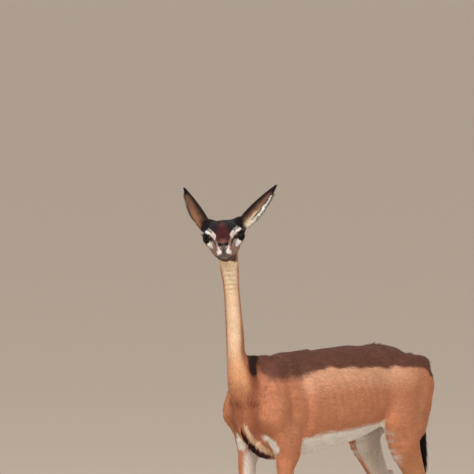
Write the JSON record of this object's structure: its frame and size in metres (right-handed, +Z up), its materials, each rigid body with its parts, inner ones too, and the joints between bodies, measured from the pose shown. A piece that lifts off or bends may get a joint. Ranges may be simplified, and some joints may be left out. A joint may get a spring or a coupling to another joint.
{
  "type": "gerenuk",
  "caption": "Life-size adult female gerenuk, a long-necked antelope, standing on four legs with her head turned to her left; for filling a scene as a still animal.",
  "frame": {"origin": "On the ground under the middle of the whole animal's box, ears, nose and tail counted.", "axes": "+Z up, the animal's longest extent. -Y is the way her body faces, nose end, and +X is her left side, the shortest extent."},
  "size_m": [0.2638, 0.9118, 1.369],
  "materials": {
    "coat": "short glossy red-brown hair, darker over the back, white below",
    "neck_hair": "short red-fawn hair, pale buff down the front",
    "face_hair": "very short chestnut hair with white eye and muzzle patches and bare black nostrils",
    "ear_hair": "thin velvety ear, tan with a black inner edge and tip, white hair inside",
    "tuft_hair": "long coarse black hair",
    "eye": "wet, nearly black cornea",
    "hoof_horn": "dark grey-black horn, faintly ringed, satin"
  },
  "bodies": {
    "root": {"head": "face_hair", "neck": "neck_hair", "trunk": "coat", "tail": "coat", "tail_tuft": "tuft_hair", "foreleg_upper_left": "coat", "foreleg_lower_left": "coat", "hindleg_upper_left": "coat", "hindleg_lower_left": "coat", "foreleg_upper_right": "coat", "foreleg_lower_right": "coat", "hindleg_upper_right": "coat", "hindleg_lower_right": "coat", "hoof_fore_left_outer": "hoof_horn", "hoof_hind_left_outer": "hoof_horn", "hoof_fore_left_inner": "hoof_horn", "hoof_hind_left_inner": "hoof_horn", "hoof_fore_right_outer": "hoof_horn", "hoof_hind_right_outer": "hoof_horn", "hoof_fore_right_inner": "hoof_horn", "hoof_hind_right_inner": "hoof_horn", "ear_left": "ear_hair", "eye_left": "eye", "ear_right": "ear_hair", "eye_right": "eye"}
  },
  "joints": []
}
